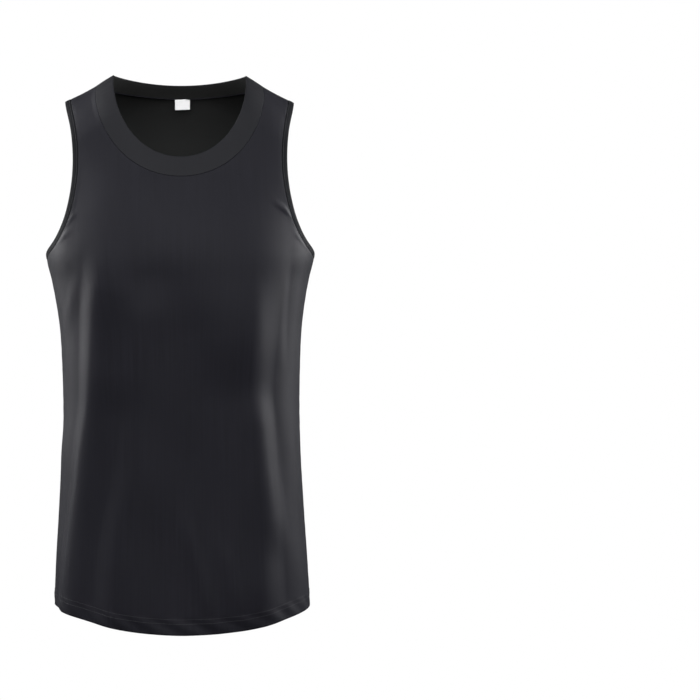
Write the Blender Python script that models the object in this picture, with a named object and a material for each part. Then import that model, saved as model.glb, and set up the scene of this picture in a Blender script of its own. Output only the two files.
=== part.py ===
"""Sleeveless basketball jersey, filled out as when it is worn, made of its cut-and-sewn pieces.

Metres, +Z up. The front faces -Y and the wearer's left is +X. The origin is midway between the two
high shoulder points, where the neckline meets the shoulder seams.

Every piece is a wall of cloth on one form. A place on the form has two coordinates: girth, the angle
round the trunk from the centre line (0) to the side seam (a quarter turn), and fall, which grows from
the shoulder line (0) down the front or the back.
"""
import math

import bmesh
import bpy
import numpy as np
from mathutils import Vector
from mathutils.geometry import delaunay_2d_cdt

# Neckline and shoulders
NECK_HALF_WIDTH = 0.0817
FRONT_NECK_DROP = 0.1018
BACK_NECK_DROP = 0.0091
FRONT_NECK_POWER = 2.06      # 2 is an ellipse, more is squarer
SHOULDER_TIP_X = 0.1418
SHOULDER_SLOPE = 0.68        # fall of the shoulder seam at the neck, per metre outwards
SHOULDER_EASING = 2.1        # how fast that slope flattens outwards
SHOULDER_RADIUS = 0.058      # height over which the cloth turns over the shoulder

# Body
SIDE_ROUNDNESS = 0.12        # 0 makes elliptical sections, more makes them squarer
ARMPIT_Z = -0.2206
HEM_SIDE_Z = -0.657
HEM_DROP = {"front": 0.018, "back": 0.010}   # how much lower the hem is at the centre than at the sides

# Widths of the sewn strips, and walls of cloth
NECKBAND_WIDTH = 0.0250
BINDING_WIDTH = 0.0080
HEM_HEIGHT = 0.0200
HEM_STEP = 0.0020
PANEL_WALL = 0.0012
HEM_WALL = 0.0024
NECKBAND_WALL = 0.0020
BINDING_WALL = 0.0022
SEAM_GAP = 0.00035

# Neck label, sewn into the neckband's back seam
LABEL_WIDTH = 0.0190
LABEL_HEIGHT = 0.0150
LABEL_WALL = 0.0010
LABEL_LEAN = math.radians(28)    # from the vertical, top to the front
LABEL_TILT = math.radians(3)     # skewed in its own plane
LABEL_SHIFT = 0.0015

# How finely each stretch of cloth is divided
NECK_STEPS = 12              # along half the neckline
ARMHOLE_STEPS = 15           # along the front or the back of an armhole
SHOULDER_STEPS = 3
SIDE_STEPS = 18
HEM_STEPS = 16               # along half a hem, and across half a panel
NECKBAND_STEPS = 3           # across the neckband
BINDING_STEPS = 1
ROW_HEIGHT = 0.024           # between the rows of points inside a panel
ROWS = 27
RIM_CLEARANCE = 0.008        # between those points and the panel's rim
FINE_STEPS = 400             # points of an edge before it is divided evenly
FORM_RADIUS = 0.150          # turns a girth into a length
QUARTER_GIRTH = 0.225        # length of cloth from the centre line to the side seam
NUDGE = 1e-4                 # a small step of girth or fall, in radians
FILL_TO_RIM = 1              # how a rim is filled with triangles: inside it only
MERGE_DISTANCE = 1e-7
SHARP_ANGLE = math.radians(50)
ROUGHNESS = 0.6

# Sections of the form, from the shoulders down to the hem
SECTIONS = np.array([
    # z, half_width, front_depth, back_depth
    (0.000, 0.1650, 0.0620, 0.0540),
    (-0.010, 0.1650, 0.0635, 0.0635),
    (-0.025, 0.1650, 0.0660, 0.0800),
    (-0.045, 0.1650, 0.0695, 0.0945),
    (-0.070, 0.1650, 0.0740, 0.1070),
    (-0.100, 0.1645, 0.0805, 0.1150),
    (-0.140, 0.1645, 0.0940, 0.1205),
    (-0.180, 0.1660, 0.1055, 0.1220),
    (-0.2206, 0.1672, 0.1130, 0.1205),
    (-0.2545, 0.1596, 0.1125, 0.1190),
    (-0.280, 0.1552, 0.1110, 0.1175),
    (-0.305, 0.1519, 0.1090, 0.1160),
    (-0.355, 0.1487, 0.1065, 0.1130),
    (-0.400, 0.1475, 0.1050, 0.1115),
    (-0.456, 0.1486, 0.1042, 0.1115),
    (-0.506, 0.1506, 0.1045, 0.1125),
    (-0.556, 0.1533, 0.1055, 0.1140),
    (-0.606, 0.1571, 0.1075, 0.1160),
    (-0.657, 0.1601, 0.1100, 0.1180),
    (-0.700, 0.1625, 0.1120, 0.1200),
])

DEPTH_COLUMN = {"front": 2, "back": 3}
FACING = {"front": -1.0, "back": 1.0}        # which way a side looks, along Y

# Edge of the armhole, seen from the front, from the shoulder tip down to the armpit
ARMHOLE = np.array([
    # z, x
    (-0.0333, 0.1418),
    (-0.0417, 0.1398),
    (-0.0674, 0.1335),
    (-0.0986, 0.1306),
    (-0.1294, 0.1317),
    (-0.1540, 0.1356),
    (-0.1784, 0.1425),
    (-0.2030, 0.1547),
    (-0.2162, 0.1646),
    (-0.2206, 0.1672),
])

# Largest folds: soft ridges that hang from the chest and the shoulder blades. A turn is the girth as a
# share of the way to the side seam, positive on the wearer's left.
FOLDS = [
    # side, top_turn, top_z, bottom_turn, bottom_z, bow, height, half_width
    ("front", -0.46, -0.250, -0.64, -0.660, -0.05, 0.0045, 0.0110),
    ("front", 0.45, -0.245, 0.50, -0.520, -0.06, 0.0045, 0.0120),
    ("front", 0.65, -0.270, 0.64, -0.475, 0.09, 0.0035, 0.0100),
    ("back", 0.24, -0.170, 0.62, -0.670, 0.09, 0.0055, 0.0100),
    ("back", -0.24, -0.170, -0.54, -0.490, -0.02, 0.0055, 0.0100),
    ("back", -0.55, -0.245, -0.59, -0.430, -0.03, 0.0040, 0.0090),
    ("back", -0.78, -0.475, -0.49, -0.660, 0.12, 0.0035, 0.0100),
]
FOLD_END = 0.060             # length over which a fold dies away at its ends
SEAM_CALM = 0.020            # distance from a seam within which folds die away

# Quarter turn table of the section curve, to look up a girth from a share of the half width
GIRTHS = np.linspace(0.0, math.pi / 2, 721)

COLOURS = {
    "knit": (0.026, 0.026, 0.029, 1.0),
    "rib": (0.028, 0.028, 0.031, 1.0),
    "label": (0.85, 0.85, 0.84, 1.0),
}


def smooth_lookup(table, column, at):
    """The table's column at the given heights, on a curve through its rows (rows run downwards)."""
    z = table[::-1, 0]
    values = table[::-1, column]
    slopes = np.gradient(values, z)
    row = np.clip(np.searchsorted(z, at) - 1, 0, len(z) - 2)
    span = z[row + 1] - z[row]
    t = np.clip((at - z[row]) / span, 0.0, 1.0)
    start = (1 + 2 * t) * (1 - t) ** 2 * values[row] + t * (1 - t) ** 2 * span * slopes[row]
    end = t ** 2 * (3 - 2 * t) * values[row + 1] - t ** 2 * (1 - t) * span * slopes[row + 1]
    return start + end


def smooth_step(share):
    """0 below 0 and 1 above 1, with a smooth rise between them."""
    share = np.clip(share, 0.0, 1.0)
    return share * share * (3 - 2 * share)


def across(girth):
    """How far out a girth lies, as a share of the half width."""
    return np.sin(girth) * (1 + SIDE_ROUNDNESS * np.cos(girth) ** 2)


def forwards(girth):
    """How far forwards or back a girth lies, as a share of the depth."""
    return np.cos(girth) * (1 + SIDE_ROUNDNESS * np.sin(girth) ** 2)


def girth_at(share):
    """The girth that lies that share of the half width out, on the wearer's left or right."""
    return np.sign(share) * np.interp(np.abs(share), across(GIRTHS), GIRTHS)


def shoulder_z(x):
    """Height of the shoulder line: a slope outside the neck, and a smooth bridge across it."""
    out = np.abs(x) - NECK_HALF_WIDTH
    slope = -SHOULDER_SLOPE * out + SHOULDER_EASING * out ** 2
    bridge = SHOULDER_SLOPE * (NECK_HALF_WIDTH ** 2 - x ** 2) / (2 * NECK_HALF_WIDTH)
    return np.where(out > 0, slope, bridge)


def fall_at(girth, z):
    """The fall of a height: an angle while the cloth turns over the shoulder, then straight down."""
    top = shoulder_z(SECTIONS[0, 1] * across(girth))
    drop = np.maximum((top - z) / SHOULDER_RADIUS, 0.0)
    turning = np.arccos(np.clip(1 - drop, -1.0, 1.0))
    return np.where(drop < 1, turning, math.pi / 2 + drop - 1)


def height_at(girth, fall):
    """The height of a fall, the reverse of fall_at."""
    top = shoulder_z(SECTIONS[0, 1] * across(girth))
    drop = np.where(fall < math.pi / 2, 1 - np.cos(fall), 1 + fall - math.pi / 2)
    return top - SHOULDER_RADIUS * drop


def on_form(side, girth, fall):
    """Points of the form at the given girths and falls of its front or back."""
    z = height_at(girth, fall)
    depth_column = DEPTH_COLUMN[side]
    depth = smooth_lookup(SECTIONS, depth_column, z)
    rounding = np.sin(np.minimum(fall, math.pi / 2))
    x = smooth_lookup(SECTIONS, 1, z) * across(girth)
    y = FACING[side] * depth * forwards(girth) * rounding
    return np.stack([x, y, z], axis=-1)


def form_slopes(side, girth, fall):
    """How the points of the form move as the girth grows and as the fall grows."""
    here = on_form(side, girth, fall)
    by_girth = (on_form(side, girth + NUDGE, fall) - here) / NUDGE
    by_fall = (on_form(side, girth, fall + NUDGE) - here) / NUDGE
    return by_girth, by_fall


def form_normals(side, girth, fall):
    """Unit normals of the form, out of the trunk; at a seam of front and back they have no Y part."""
    by_girth, by_fall = form_slopes(side, girth, fall)
    normal = np.cross(by_girth, by_fall) * FACING[side]
    at_seam = (np.abs(girth) > math.pi / 2 - NUDGE) | (fall < NUDGE)
    normal[at_seam, 1] = 0.0
    return normal / np.linalg.norm(normal, axis=-1, keepdims=True)


def offset_on_form(side, line, distance, steps):
    """Lines further and further to the left of a line on the form, or to its right if negative."""
    girth, fall = line
    lines = [line]
    for _ in range(steps):
        by_girth, by_fall = form_slopes(side, girth, fall)
        e = (by_girth ** 2).sum(-1)
        f = (by_girth * by_fall).sum(-1)
        g = (by_fall ** 2).sum(-1)
        run_girth = np.gradient(girth)
        run_fall = np.gradient(fall)
        run = np.sqrt(e * run_girth ** 2 + 2 * f * run_girth * run_fall + g * run_fall ** 2)
        scale = distance / steps / (run * np.sqrt(e * g - f ** 2))
        girth = girth - scale * (f * run_girth + g * run_fall)
        fall = fall + scale * (e * run_girth + f * run_fall)
        lines.append((girth, fall))
    return lines


def shoulder_girth(x):
    """The girth at which the shoulder line is that far out."""
    return girth_at(x / SECTIONS[0, 1])


def evenly_spaced(side, girth, fall, steps):
    """A line on the form with its points moved along it, so that they are the same length apart."""
    points = on_form(side, girth, fall)
    length = np.concatenate([[0.0], np.linalg.norm(np.diff(points, axis=0), axis=-1).cumsum()])
    even = np.linspace(0.0, length[-1], steps + 1)
    return np.interp(even, length, girth), np.interp(even, length, fall)


def neck_edge(side):
    """Half a neckline, from its centre out to the high shoulder point."""
    angle = np.linspace(0.0, math.pi / 2, FINE_STEPS + 1)
    if side == "front":
        power = 2 / FRONT_NECK_POWER
        x = NECK_HALF_WIDTH * np.sin(angle) ** power
        z = -FRONT_NECK_DROP * np.cos(angle) ** power
    else:
        x = NECK_HALF_WIDTH * np.sin(angle)
        z = -BACK_NECK_DROP * np.cos(angle) ** 2
    girth = girth_at(x / smooth_lookup(SECTIONS, 1, z))
    return evenly_spaced(side, girth, fall_at(girth, z), NECK_STEPS)


def armhole_edge(side):
    """Half an armhole, from the armpit up to the shoulder tip."""
    climb = (1 - np.cos(np.linspace(0.0, math.pi, FINE_STEPS + 1))) / 2
    z = ARMPIT_Z + (shoulder_z(SHOULDER_TIP_X) - ARMPIT_Z) * climb
    x = smooth_lookup(ARMHOLE, 1, z)
    girth = girth_at(np.minimum(x / smooth_lookup(SECTIONS, 1, z), 1.0))
    return evenly_spaced(side, girth, fall_at(girth, z), ARMHOLE_STEPS)


def neckband_lines(side, width, steps):
    """Lines across half a neckband, from the neckline out; all of them end on the shoulder line."""
    lines = offset_on_form(side, neck_edge(side), width, steps)
    seam_run = math.hypot(1.0, SHOULDER_SLOPE)
    for step, (girth, fall) in enumerate(lines):
        girth[0] = 0.0
        girth[-1] = shoulder_girth(NECK_HALF_WIDTH + width * step / steps / seam_run)
        fall[-1] = 0.0
    return lines


def binding_lines(side, width, steps):
    """Lines across half an armhole binding, from the edge in; they run from side seam to shoulder."""
    lines = offset_on_form(side, armhole_edge(side), -width, steps)
    tip_slope = SHOULDER_SLOPE - 2 * SHOULDER_EASING * (SHOULDER_TIP_X - NECK_HALF_WIDTH)
    seam_run = math.hypot(1.0, tip_slope)
    for step, (girth, fall) in enumerate(lines):
        inwards = width * step / steps
        girth[0] = math.pi / 2
        fall[0] = fall_at(girth[0], ARMPIT_Z - inwards)
        girth[-1] = shoulder_girth(SHOULDER_TIP_X - inwards / seam_run)
        fall[-1] = 0.0
    return lines


def hem_line(side, girth, raised):
    """Falls of the line that runs a given height above the hem edge."""
    z = HEM_SIDE_Z - HEM_DROP[side] * np.cos(girth) ** 2 + raised
    return fall_at(girth, z)


def joined(*lines):
    """Lines of places end to end, each given as its girths and falls."""
    girth = np.concatenate([line[0] for line in lines])
    fall = np.concatenate([line[1] for line in lines])
    return np.stack([girth, fall], axis=-1)


def both_halves(places):
    """Columns of places with their mirror images, from the wearer's right to the left."""
    mirrored = places[..., :0:-1, :] * np.array([-1.0, 1.0])
    return np.concatenate([mirrored, places], axis=-2)


def panel_border(side, hem_girths):
    """The rim of a panel above its hem line, from the wearer's right to the left and back over the top."""
    neck = neckband_lines(side, NECKBAND_WIDTH + SEAM_GAP, NECKBAND_STEPS)[-1]
    arm = binding_lines(side, BINDING_WIDTH + SEAM_GAP, BINDING_STEPS)[-1]
    hem_corner = hem_line(side, math.pi / 2, 0.0)
    step_corner = hem_line(side, math.pi / 2, HEM_HEIGHT + HEM_STEP)
    seam_falls = np.linspace(step_corner, arm[1][0], SIDE_STEPS + 1)[:-1]
    seam_falls = np.concatenate([[hem_corner, hem_line(side, math.pi / 2, HEM_HEIGHT)], seam_falls])
    side_seam = (np.full(len(seam_falls), math.pi / 2), seam_falls)
    shoulder_girths = np.linspace(neck[0][-1], arm[0][-1], SHOULDER_STEPS + 1)[1:-1]
    shoulder = (shoulder_girths, np.zeros(len(shoulder_girths)))
    up_and_over = both_halves(joined(neck, shoulder, (arm[0][::-1], arm[1][::-1]),
                                     (side_seam[0][::-1], side_seam[1][::-1])))
    hem = np.stack([hem_girths, hem_line(side, hem_girths, 0.0)], axis=-1)
    return np.concatenate([up_and_over, hem[-2:0:-1]])


def inside(places, rim):
    """Which places lie inside a closed rim: a ray from them crosses it an odd number of times."""
    start, end = rim, np.roll(rim, -1, axis=0)
    fall = places[:, None, 1]
    crosses = (start[:, 1] > fall) != (end[:, 1] > fall)
    drop = np.where(start[:, 1] == end[:, 1], 1.0, end[:, 1] - start[:, 1])
    crossing = start[:, 0] + (fall - start[:, 1]) / drop * (end[:, 0] - start[:, 0])
    return (crosses & (places[:, None, 0] < crossing)).sum(axis=1) % 2 == 1


def panel_places(side):
    """Places of a panel, the triangles between them, and its rim as numbers of places."""
    hem_girths = np.linspace(-math.pi / 2, math.pi / 2, 2 * HEM_STEPS + 1)
    rim = panel_border(side, hem_girths)
    inner_girths = hem_girths[1:-1]
    hem_lines = [(inner_girths, hem_line(side, inner_girths, height))
                 for height in (HEM_HEIGHT, HEM_HEIGHT + HEM_STEP)]
    rows = np.arange(1, ROWS + 1) * ROW_HEIGHT / SHOULDER_RADIUS
    lattice = np.stack([np.broadcast_to(inner_girths, (ROWS, len(inner_girths))),
                        hem_lines[1][1] - rows[:, None]], axis=-1).reshape(-1, 2)
    lattice = lattice[inside(lattice, rim)]
    reach = (lattice[:, None] - rim) * np.array([FORM_RADIUS, SHOULDER_RADIUS])
    lattice = lattice[np.linalg.norm(reach, axis=-1).min(axis=1) > RIM_CLEARANCE]
    places = np.concatenate([rim, joined(*hem_lines), lattice])

    rim_edges = [(i, (i + 1) % len(rim)) for i in range(len(rim))]
    flat = places * np.array([FORM_RADIUS, SHOULDER_RADIUS])
    flat = [Vector(place) for place in flat]
    _, _, triangles, origins, _, _ = delaunay_2d_cdt(flat, rim_edges, [], FILL_TO_RIM, MERGE_DISTANCE)
    number = np.array([places_met[0] for places_met in origins])
    return places, number[np.array(triangles)], np.arange(len(rim))


def fold_height(side, girth, z):
    """How far the largest folds lift the cloth off the form."""
    turn = girth / (math.pi / 2)
    lift = np.zeros_like(z)
    for fold_side, top_turn, top_z, bottom_turn, bottom_z, bow, height, half_width in FOLDS:
        if fold_side != side:
            continue
        along = np.clip((z - top_z) / (bottom_z - top_z), 0.0, 1.0)
        ridge_turn = top_turn + (bottom_turn - top_turn) * along + bow * 4 * along * (1 - along)
        sideways = (turn - ridge_turn) * QUARTER_GIRTH / half_width
        beyond = np.maximum(z - top_z, bottom_z - z) / FOLD_END
        lift += height * np.exp(-sideways ** 2) * smooth_step(1 - beyond)
    return lift * smooth_step((1 - np.abs(turn)) * QUARTER_GIRTH / SEAM_CALM)


def strip_quads(rows, columns):
    """Corner numbers of the quads of a strip whose last column is beside its first."""
    row, column = np.meshgrid(np.arange(rows - 1), np.arange(columns), indexing="ij")
    beside = (column + 1) % columns
    corners = [row * columns + column, row * columns + beside]
    corners += [(row + 1) * columns + beside, (row + 1) * columns + column]
    return np.stack(corners, axis=-1).reshape(-1, 4)


def cloth_wall(name, outer, inner, faces, rims, colour):
    """A closed wall of cloth between an outer and an inner layer of points with the same faces."""
    count = len(outer)
    all_faces = faces.tolist() + (faces[:, ::-1] + count).tolist()
    for rim in rims:
        after = np.roll(rim, -1)
        all_faces += np.stack([after, rim, rim + count, after + count], axis=-1).tolist()
    mesh = bpy.data.meshes.new(name)
    mesh.from_pydata(np.concatenate([outer, inner]).tolist(), [], all_faces)
    mesh.shade_smooth()
    mesh.set_sharp_from_angle(angle=SHARP_ANGLE)
    add_object(name, mesh, colour)


def add_object(name, mesh, colour):
    """Puts an object of that mesh, with its own material, in the scene."""
    material = bpy.data.materials.new(name)
    material.use_nodes = True
    surface = material.node_tree.nodes["Principled BSDF"]
    surface.inputs["Base Color"].default_value = COLOURS[colour]
    surface.inputs["Roughness"].default_value = ROUGHNESS
    mesh.materials.append(material)
    bpy.context.scene.collection.objects.link(bpy.data.objects.new(name, mesh))


def make_panel(side):
    """The front or the back, with its hem turned up inside."""
    places, faces, rim = panel_places(side)
    girth, fall = places[:, 0], places[:, 1]
    form = on_form(side, girth, fall)
    normal = form_normals(side, girth, fall)
    outer = form + normal * fold_height(side, girth, form[:, 2])[:, None]
    outer[:, 1] += SEAM_GAP / 2 * FACING[side]
    in_hem = hem_line(side, girth, HEM_HEIGHT + HEM_STEP / 2) < fall
    wall = np.where(in_hem, HEM_WALL, PANEL_WALL)
    if side == "front":
        faces, rim = faces[:, ::-1], rim[::-1]
    cloth_wall(side + "_panel", outer, outer - normal * wall[:, None], faces, [rim], "knit")


def strip_halves(lines_of, width, steps, whole):
    """Points and normals of a strip's front and back halves; their first row lies at the panels."""
    halves = []
    for side in ("front", "back"):
        places = np.stack([joined(line) for line in lines_of(side, width, steps)[::-1]])
        if whole:
            places = both_halves(places)
        girth, fall = places[..., 0], places[..., 1]
        halves.append(np.stack([on_form(side, girth, fall), form_normals(side, girth, fall)]))
    return halves


def make_strip(name, layers, wall):
    """A closed strip of knit from the grids of its points and its normals."""
    rows, columns = layers.shape[1:3]
    outer, normal = layers.reshape(2, -1, 3)
    first = np.arange(columns)
    last = first[::-1] + (rows - 1) * columns
    cloth_wall(name, outer, outer - normal * wall, strip_quads(rows, columns), [first, last], "rib")


def make_neckband():
    """The ring of knit round the neckline."""
    front, back = strip_halves(neckband_lines, NECKBAND_WIDTH, NECKBAND_STEPS, whole=True)
    ring = np.concatenate([front[:, :, :-1], back[:, :, :0:-1]], axis=2)
    make_strip("neckband", ring, NECKBAND_WALL)


def make_bindings():
    """The rings of knit that bind the armholes; the right one mirrors the left."""
    front, back = strip_halves(binding_lines, BINDING_WIDTH, BINDING_STEPS, whole=False)
    ring = np.concatenate([front[:, :, :0:-1], back[:, :, :-1]], axis=2)
    make_strip("armhole_binding_left", ring, BINDING_WALL)
    mirrored = ring[:, :, ::-1] * np.array([-1.0, 1.0, 1.0])
    make_strip("armhole_binding_right", mirrored, BINDING_WALL)


def make_label():
    """The bare neck label: a small woven tab that hangs from the back seam of the neckband."""
    girth, fall = neckband_lines("back", NECKBAND_WIDTH + SEAM_GAP, NECKBAND_STEPS)[-1]
    seam = on_form("back", girth[0], fall[0])
    lower = on_form("back", girth[0], fall[0] + NUDGE)
    down = (lower - seam) / np.linalg.norm(lower - seam)
    inwards = np.array([0.0, down[2], -down[1]])
    across_label = np.array([math.cos(LABEL_TILT), 0.0, math.sin(LABEL_TILT)])
    hang = np.array([0.0, math.sin(LABEL_LEAN), -math.cos(LABEL_LEAN)])
    away = np.array([0.0, -math.cos(LABEL_LEAN), -math.sin(LABEL_LEAN)])
    top = seam + inwards * (NECKBAND_WALL + SEAM_GAP) + np.array([LABEL_SHIFT, 0.0, 0.0])
    corners = []
    for off in (0.0, LABEL_WALL):
        for drop in (0.0, LABEL_HEIGHT):
            for sideways in (-LABEL_WIDTH / 2, LABEL_WIDTH / 2):
                corners.append(top + across_label * sideways + hang * drop + away * off)
    mesh = bpy.data.meshes.new("neck_label")
    box = bmesh.new()
    verts = [box.verts.new(corner) for corner in corners]
    bmesh.ops.convex_hull(box, input=verts)
    bmesh.ops.recalc_face_normals(box, faces=box.faces)
    box.to_mesh(mesh)
    box.free()
    add_object("neck_label", mesh, "label")


def main():
    for thing in list(bpy.data.objects):
        bpy.data.objects.remove(thing)
    make_panel("front")
    make_panel("back")
    make_neckband()
    make_bindings()
    make_label()


main()
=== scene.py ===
# A sleeveless jersey of fine smooth knit, filled out as when it is worn, seen from the front.
# Metres, +Z up, the front to -Y and the wearer's left to +X.
import math

import bmesh
import bpy
import numpy as np
from mathutils import Matrix, Vector


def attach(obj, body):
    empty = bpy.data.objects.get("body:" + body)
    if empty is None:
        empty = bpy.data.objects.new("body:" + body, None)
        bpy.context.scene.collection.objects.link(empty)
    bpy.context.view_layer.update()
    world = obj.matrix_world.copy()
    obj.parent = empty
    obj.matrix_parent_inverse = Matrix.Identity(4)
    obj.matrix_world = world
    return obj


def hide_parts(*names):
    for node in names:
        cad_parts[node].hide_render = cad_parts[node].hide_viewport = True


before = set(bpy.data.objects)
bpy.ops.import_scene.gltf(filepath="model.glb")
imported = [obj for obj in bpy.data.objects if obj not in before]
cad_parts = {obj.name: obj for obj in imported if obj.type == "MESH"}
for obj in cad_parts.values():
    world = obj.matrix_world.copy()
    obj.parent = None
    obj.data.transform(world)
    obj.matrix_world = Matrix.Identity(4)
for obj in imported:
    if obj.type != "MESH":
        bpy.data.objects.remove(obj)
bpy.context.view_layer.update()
print("frame loaded")


# The form that the cloth lies on. A place on it is (girth, fall): girth is the angle round the trunk from the
# centre line to the side seam, positive on the wearer's left, and fall grows from the shoulder line down.

form = {
    "neckHalfWidth": 0.0817,
    "neckDrop": {"front": 0.1018, "back": 0.0091},
    "neckPower": 2.06,  # 2 is an ellipse, more is squarer
    "shoulderTipX": 0.1418,
    "shoulderSlope": 0.68,
    "shoulderEasing": 2.1,
    "shoulderRadius": 0.058,
    "sideRoundness": 0.12,
    "armpitZ": -0.2206,
    "hemLevel": -0.661,  # from here the hem goes down to its middle and to its side seams
    "hemDrop": {"front": 0.0205, "back": 0.0090},
    "hemSides": 0.0065,
    "hemRise": 0.0085,  # how much higher it hangs at the wearer's right
    "riseFrom": -0.35,
    "riseSpan": 0.30,
    "risePower": 1.3,
    "sideRadius": 0.123,  # of the form's bend at the side seam
    "quarterGirth": 0.225,  # cloth from the centre line to the side seam
    "facing": {"front": -1.0, "back": 1.0},
    "depthColumn": {"front": 2, "back": 3},
    "nudge": 1e-4,
    # z, half width, front depth, back depth
    "sections": np.array([
        (0.000, 0.1650, 0.0620, 0.0540),
        (-0.010, 0.1650, 0.0635, 0.0635),
        (-0.025, 0.1650, 0.0660, 0.0800),
        (-0.045, 0.1650, 0.0695, 0.0945),
        (-0.070, 0.1650, 0.0740, 0.1070),
        (-0.100, 0.1645, 0.0805, 0.1150),
        (-0.140, 0.1645, 0.0940, 0.1205),
        (-0.180, 0.1660, 0.1055, 0.1220),
        (-0.2206, 0.1672, 0.1130, 0.1205),
        (-0.2545, 0.1596, 0.1125, 0.1190),
        (-0.280, 0.1552, 0.1110, 0.1175),
        (-0.305, 0.1519, 0.1090, 0.1160),
        (-0.355, 0.1487, 0.1065, 0.1130),
        (-0.400, 0.1475, 0.1050, 0.1115),
        (-0.456, 0.1486, 0.1042, 0.1115),
        (-0.506, 0.1506, 0.1045, 0.1125),
        (-0.556, 0.1533, 0.1055, 0.1140),
        (-0.606, 0.1571, 0.1075, 0.1160),
        (-0.657, 0.1601, 0.1100, 0.1180),
        (-0.700, 0.1625, 0.1120, 0.1200),
    ]),
    # z, x of the armhole's edge seen from the front
    "armhole": np.array([
        (-0.0333, 0.1418),
        (-0.0417, 0.1398),
        (-0.0674, 0.1335),
        (-0.0986, 0.1306),
        (-0.1294, 0.1317),
        (-0.1540, 0.1356),
        (-0.1784, 0.1425),
        (-0.2030, 0.1547),
        (-0.2162, 0.1646),
        (-0.2206, 0.1672),
    ]),
}
quarterTurn = math.pi / 2
fineGirths = np.linspace(0.0, quarterTurn, 721)


def smoothStep(share):
    # 0 below 0, 1 above 1, a smooth rise between
    share = np.clip(share, 0.0, 1.0)
    return share * share * (3 - 2 * share)


def cubic(t, first, last, leaving, arriving):
    # the cubic curve from the first value to the last one, with its slopes at both ends
    start = (1 + 2 * t) * (1 - t) ** 2 * first + t * (1 - t) ** 2 * leaving
    end = t ** 2 * (3 - 2 * t) * last - t ** 2 * (1 - t) * arriving
    return start + end


def smoothLookup(table, column, at):
    # a column of a table at the given heights, on the cubic curve through its rows
    z = table[::-1, 0]
    values = table[::-1, column]
    slopes = np.gradient(values, z)
    row = np.clip(np.searchsorted(z, at) - 1, 0, len(z) - 2)
    span = z[row + 1] - z[row]
    t = np.clip((at - z[row]) / span, 0.0, 1.0)
    return cubic(t, values[row], values[row + 1], span * slopes[row], span * slopes[row + 1])


def across(girth):
    # sine of the girth, fuller between the centre and the side
    return np.sin(girth) * (1 + form["sideRoundness"] * np.cos(girth) ** 2)


def girthAt(share):
    # the girth that lies at a share of the half width, read from a fine table
    return np.sign(share) * np.interp(np.abs(share), across(fineGirths), fineGirths)


def shoulderZ(x):
    # the shoulder line: a slope that flattens outwards, and a parabola that bridges the neck
    neck = form["neckHalfWidth"]
    out = np.abs(x) - neck
    slope = -form["shoulderSlope"] * out + form["shoulderEasing"] * out ** 2
    bridge = form["shoulderSlope"] * (neck ** 2 - x ** 2) / (2 * neck)
    return np.where(out > 0, slope, bridge)


def lineZ(girth):
    # height of the shoulder line over a girth
    return shoulderZ(form["sections"][0, 1] * across(girth))


def fallAt(girth, z):
    # an angle while the form turns over the shoulder, and then the height below in shoulder radii
    drop = np.maximum((lineZ(girth) - z) / form["shoulderRadius"], 0.0)
    turning = np.arccos(np.clip(1 - drop, -1.0, 1.0))
    return np.where(drop < 1, turning, quarterTurn + drop - 1)


def heightAt(girth, fall):
    # the height that fallAt started from
    drop = np.where(fall < quarterTurn, 1 - np.cos(fall), 1 + fall - quarterTurn)
    return lineZ(girth) - form["shoulderRadius"] * drop


def onForm(side, girth, fall):
    # x is the half width times across(girth); y is the depth times the cosine of the girth, fuller at the
    # sides, and turns over the shoulder with the sine of the fall; z follows the fall
    z = heightAt(girth, fall)
    depth = smoothLookup(form["sections"], form["depthColumn"][side], z)
    forwards = np.cos(girth) * (1 + form["sideRoundness"] * np.sin(girth) ** 2)
    x = smoothLookup(form["sections"], 1, z) * across(girth)
    y = form["facing"][side] * depth * forwards * np.sin(np.minimum(fall, quarterTurn))
    return np.stack([x, y, z], axis=-1)


def formSlopes(side, girth, fall):
    # how the place on the form moves with girth and with fall
    step = form["nudge"]
    here = onForm(side, girth, fall)
    return (onForm(side, girth + step, fall) - here) / step, (onForm(side, girth, fall + step) - here) / step


def formNormals(side, girth, fall):
    # cross product of the two slopes, pointing out; level across the seams of front and back
    byGirth, byFall = formSlopes(side, girth, fall)
    normal = np.cross(byGirth, byFall) * form["facing"][side]
    atSeam = (np.abs(girth) > quarterTurn - form["nudge"]) | (fall < form["nudge"])
    normal[..., 1] = np.where(atSeam, 0.0, normal[..., 1])
    return normal / np.linalg.norm(normal, axis=-1, keepdims=True)


def lengthsAlong(points):
    # the length of a line up to each of its points
    return np.concatenate([[0.0], np.linalg.norm(np.diff(points, axis=0), axis=-1).cumsum()])


def spaced(side, line, shares):
    # places on a line at the given shares of its length
    length = lengthsAlong(onForm(side, line[0], line[1]))
    at = np.asarray(shares) * length[-1]
    return np.stack([np.interp(at, length, line[0]), np.interp(at, length, line[1])])


def offsetLines(side, line, distances):
    # the line moved sideways on the form to each distance in turn, to its left if they grow; e, f and g are
    # the products of the form's slopes, from which lengths and right angles on it follow
    girth, fall = line
    lines = []
    reached = 0.0
    for distance in distances:
        byGirth, byFall = formSlopes(side, girth, fall)
        e = (byGirth ** 2).sum(-1)
        f = (byGirth * byFall).sum(-1)
        g = (byFall ** 2).sum(-1)
        runGirth = np.gradient(girth)
        runFall = np.gradient(fall)
        run = np.sqrt(e * runGirth ** 2 + 2 * f * runGirth * runFall + g * runFall ** 2)
        scale = (distance - reached) / (run * np.sqrt(e * g - f ** 2))
        girth = girth - scale * (f * runGirth + g * runFall)
        fall = fall + scale * (e * runGirth + f * runFall)
        lines.append(np.stack([girth, fall]))
        reached = distance
    return np.stack(lines)


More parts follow.
